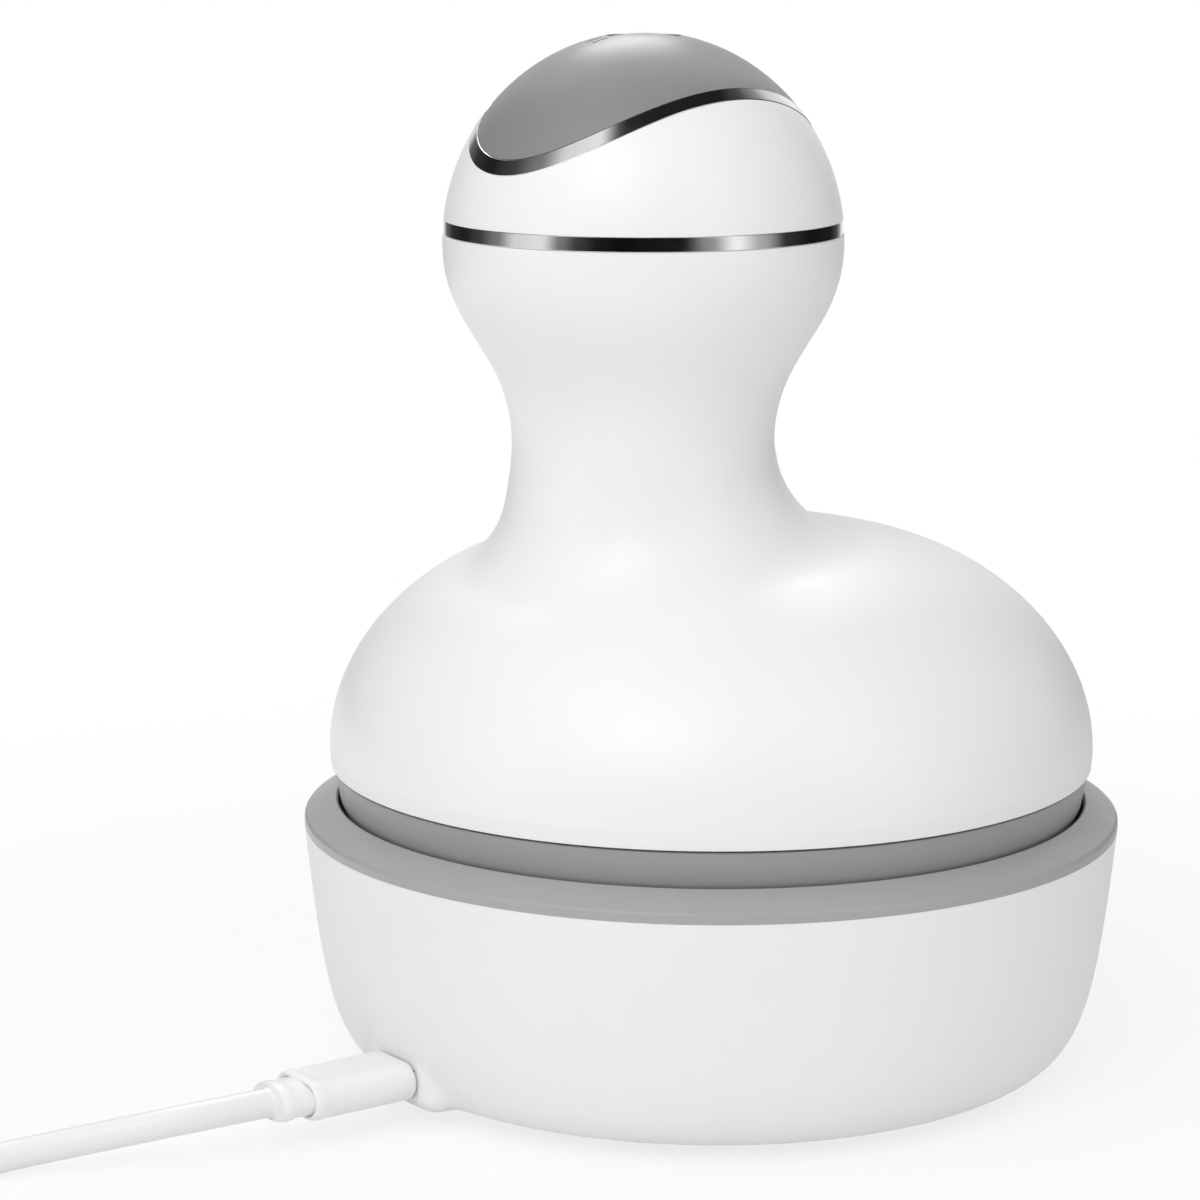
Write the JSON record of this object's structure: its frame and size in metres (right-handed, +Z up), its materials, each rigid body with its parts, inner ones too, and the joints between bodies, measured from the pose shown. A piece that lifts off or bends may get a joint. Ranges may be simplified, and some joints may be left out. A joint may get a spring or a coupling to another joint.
{
  "type": "electric scalp massager",
  "caption": "Cordless scalp massager with a ball-topped handle on a domed body, geared finger pads below, standing in its round charging dock with a USB lead.",
  "frame": {"origin": "on the floor under the centre of the round dock", "axes": "+Z up; the charging socket and its plug are on the -X side, and the ball of the handle leans towards -X; the massager is seated turned 5 degrees about +Z"},
  "size_m": [0.2133, 0.1581, 0.1364],
  "materials": {
    "white_gloss_plastic": "smooth gloss",
    "white_satin_plastic": "fine satin",
    "grey_satin_plastic": "fine satin",
    "dark_grey_plastic": "matt",
    "natural_plastic": "semi-matt acetal",
    "plated_trim": "polished",
    "white_rubber": "matt",
    "grey_silicone": "matt",
    "grey_rubber": "matt",
    "steel": "bright",
    "gold_plating": "bright",
    "circuit_board": "solder mask",
    "battery_sleeve": "shrink sleeve",
    "light_window": "clear"
  },
  "bodies": {
    "dock": {"dock_shell": "white_satin_plastic", "dock_base_plate": "white_satin_plastic", "foot_1": "grey_rubber", "foot_2": "grey_rubber", "foot_3": "grey_rubber", "foot_4": "grey_rubber", "dock_tray": "grey_satin_plastic", "dock_ledge": "grey_satin_plastic", "dock_rim": "grey_satin_plastic", "base_screws": "steel", "dock_board": "circuit_board", "charging_socket": "dark_grey_plastic", "contact_barrels": "steel"},
    "contact_pin_centre": {"contact_pin_centre": "gold_plating"},
    "contact_pin_ring": {"contact_pin_ring": "gold_plating"},
    "massager": {"body_shell": "white_gloss_plastic", "belt_ring": "plated_trim", "ball_shell": "white_gloss_plastic", "wave_trim": "plated_trim", "top_cap": "grey_satin_plastic", "indicator_lights": "light_window", "collar": "grey_satin_plastic", "face_plate": "grey_satin_plastic", "contact_centre": "gold_plating", "contact_ring": "gold_plating", "shaft_bushes": "gold_plating", "plate_screws": "steel", "chassis_plate": "dark_grey_plastic", "reduction_axle": "steel", "motor_can": "steel", "battery_cell": "battery_sleeve", "battery_cradle": "dark_grey_plastic", "control_board": "circuit_board", "tact_switch": "dark_grey_plastic"},
    "power_button": {"power_button": "grey_satin_plastic"},
    "motor_rotor": {"motor_rotor": "steel"},
    "reduction_gear": {"reduction_gear": "natural_plastic"},
    "head_1": {"head_gear_1": "natural_plastic", "head_shaft_1": "steel", "head_pad_1": "grey_silicone"},
    "head_2": {"head_gear_2": "natural_plastic", "head_shaft_2": "steel", "head_pad_2": "grey_silicone"},
    "head_3": {"head_gear_3": "natural_plastic", "head_shaft_3": "steel", "head_pad_3": "grey_silicone", "drive_wheel": "natural_plastic"},
    "head_4": {"head_gear_4": "natural_plastic", "head_shaft_4": "steel", "head_pad_4": "grey_silicone"},
    "usb_cable": {"plug_tip": "steel", "plug_grip": "white_satin_plastic", "plug_collar": "white_satin_plastic", "cord_lead": "white_rubber", "cord_coil": "white_rubber", "cord_tie": "grey_rubber", "cord_tail": "white_rubber", "usb_relief": "white_satin_plastic", "usb_grip": "white_satin_plastic", "usb_tip": "steel"}
  },
  "joints": [
    {"name": "massager_lift", "type": "slide", "parent": "dock", "child": "massager", "axis": [0, 0, 1], "range_m": [0, 0.06]},
    {"name": "contact_pin_centre_spring", "type": "slide", "parent": "dock", "child": "contact_pin_centre", "axis": [0, 0, 1], "range_m": [-0.0008, 0], "stiffness_N_per_m": 300},
    {"name": "contact_pin_ring_spring", "type": "slide", "parent": "dock", "child": "contact_pin_ring", "axis": [0, 0, 1], "range_m": [-0.0008, 0], "stiffness_N_per_m": 300},
    {"name": "power_button_press", "type": "slide", "parent": "massager", "child": "power_button", "axis": [0, 0, -1], "range_m": [0, 0.0005], "stiffness_N_per_m": 3000},
    {"name": "head_1_spin", "type": "hinge", "parent": "massager", "child": "head_1", "pos_m": [0.01636, 0.0195, 0.028], "axis": [0, 0, 1], "continuous": true},
    {"name": "head_2_spin", "type": "hinge", "parent": "massager", "child": "head_2", "pos_m": [-0.0195, 0.01636, 0.028], "axis": [0, 0, 1], "continuous": true},
    {"name": "head_3_spin", "type": "hinge", "parent": "massager", "child": "head_3", "pos_m": [-0.01636, -0.0195, 0.028], "axis": [0, 0, 1], "continuous": true},
    {"name": "head_4_spin", "type": "hinge", "parent": "massager", "child": "head_4", "pos_m": [0.0195, -0.01636, 0.028], "axis": [0, 0, 1], "continuous": true},
    {"name": "reduction_spin", "type": "hinge", "parent": "massager", "child": "reduction_gear", "pos_m": [-0.00351, -0.00418, 0.042], "axis": [0, 0, 1], "continuous": true},
    {"name": "motor_spin", "type": "hinge", "parent": "massager", "child": "motor_rotor", "pos_m": [0.0106, 0.00093, 0.045], "axis": [0, 0, 1], "continuous": true},
    {"name": "cable_plug_pull", "type": "slide", "parent": "dock", "child": "usb_cable", "axis": [-1, 0, 0], "range_m": [0, 0.012]}
  ],
  "couplings": [
    {"joint": "head_2_spin", "follows": "head_1_spin", "ratio": -1},
    {"joint": "head_3_spin", "follows": "head_1_spin", "ratio": 1},
    {"joint": "head_4_spin", "follows": "head_1_spin", "ratio": -1},
    {"joint": "reduction_spin", "follows": "head_1_spin", "ratio": -4},
    {"joint": "motor_spin", "follows": "head_1_spin", "ratio": 16}
  ]
}
